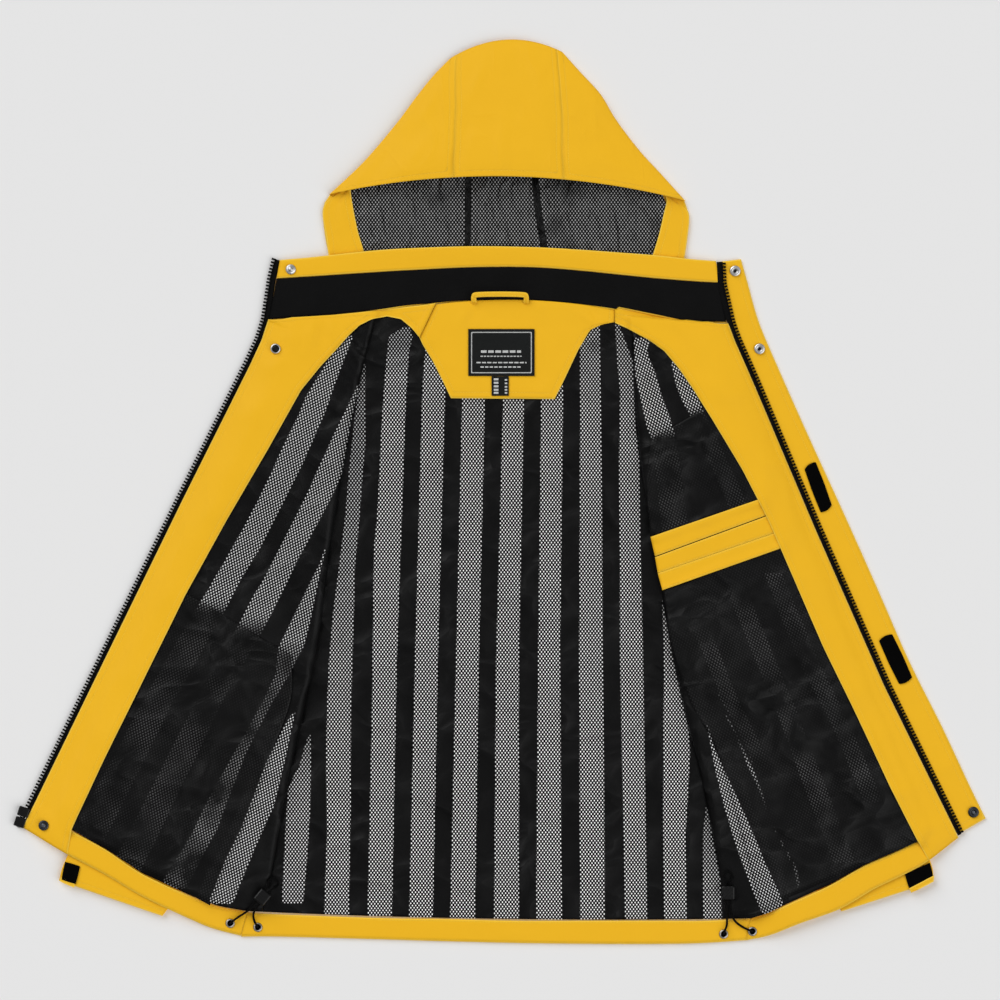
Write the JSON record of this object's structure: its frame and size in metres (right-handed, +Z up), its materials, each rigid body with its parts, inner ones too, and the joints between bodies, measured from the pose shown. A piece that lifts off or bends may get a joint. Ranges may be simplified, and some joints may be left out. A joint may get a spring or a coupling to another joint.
{
  "type": "rain jacket",
  "caption": "Hooded rain jacket laid flat and opened, inside up: yellow coated shell, black lining with net stripes, zip, storm flap, hem drawcords.",
  "frame": {"origin": "centre of the laid-out jacket's outline, on the surface it lies on", "axes": "+X to the viewer's right across the opened fronts, +Y from the hem toward the hood, +Z up from the surface, lining side up"},
  "size_m": [1.0687, 0.9944, 0.024],
  "materials": {
    "yellow_shell": "satin coated cloth",
    "black_lining": "soft cloth with net stripes",
    "black_band": "matt brushed cloth",
    "black_trim": "matt",
    "silver_metal": "bright",
    "dark_metal": "dark bronze"
  },
  "bodies": {
    "jacket": {"back_lining": "black_lining", "back_shell": "yellow_shell", "bag_left": "black_lining", "bag_lower": "black_lining", "bag_upper": "black_lining", "collar_band": "black_band", "collar_outer": "yellow_shell", "collar_top": "yellow_shell", "cord_left": "black_trim", "cord_lock_left": "black_trim", "cord_lock_right": "black_trim", "cord_right": "black_trim", "cuff_patch_left": "black_trim", "cuff_patch_right": "black_trim", "cuff_tab_left": "yellow_shell", "cuff_tab_right": "yellow_shell", "eyelet_1": "dark_metal", "eyelet_2": "dark_metal", "eyelet_3": "dark_metal", "eyelet_4": "dark_metal", "facing_left": "yellow_shell", "facing_right": "yellow_shell", "flap_patch_lower": "black_trim", "flap_patch_upper": "black_trim", "front_lining_left": "black_lining", "front_lining_right": "black_lining", "front_shell_left": "yellow_shell", "front_shell_right": "yellow_shell", "hanger_loop": "yellow_shell", "hem_back": "yellow_shell", "hem_left": "yellow_shell", "hem_right": "yellow_shell", "hood_back": "yellow_shell", "hood_centre": "yellow_shell", "hood_edge_left": "yellow_shell", "hood_edge_right": "yellow_shell", "hood_lining": "black_lining", "hood_side_left": "yellow_shell", "hood_side_right": "yellow_shell", "label": "black_band", "neck_facing": "yellow_shell", "size_tab": "black_band", "sleeve_left": "yellow_shell", "sleeve_right": "yellow_shell", "snap_left_1": "silver_metal", "snap_left_2": "silver_metal", "snap_left_3": "dark_metal", "snap_right_1": "silver_metal", "snap_right_2": "silver_metal", "snap_right_3": "dark_metal", "storm_flap": "yellow_shell", "welt_1": "yellow_shell", "welt_2": "yellow_shell", "welt_3": "yellow_shell", "zip_box": "black_trim", "zip_slider": "black_trim", "zip_tape_left": "black_trim", "zip_tape_right": "black_trim"},
    "zip_pull": {"zip_pull": "silver_metal"}
  },
  "joints": [
    {"name": "zip_pull_hinge", "type": "hinge", "parent": "jacket", "child": "zip_pull", "pos_m": [-0.5237, -0.3514, 0.00175], "axis": [0.9511, -0.309, 0], "range_deg": [0, 150]}
  ]
}
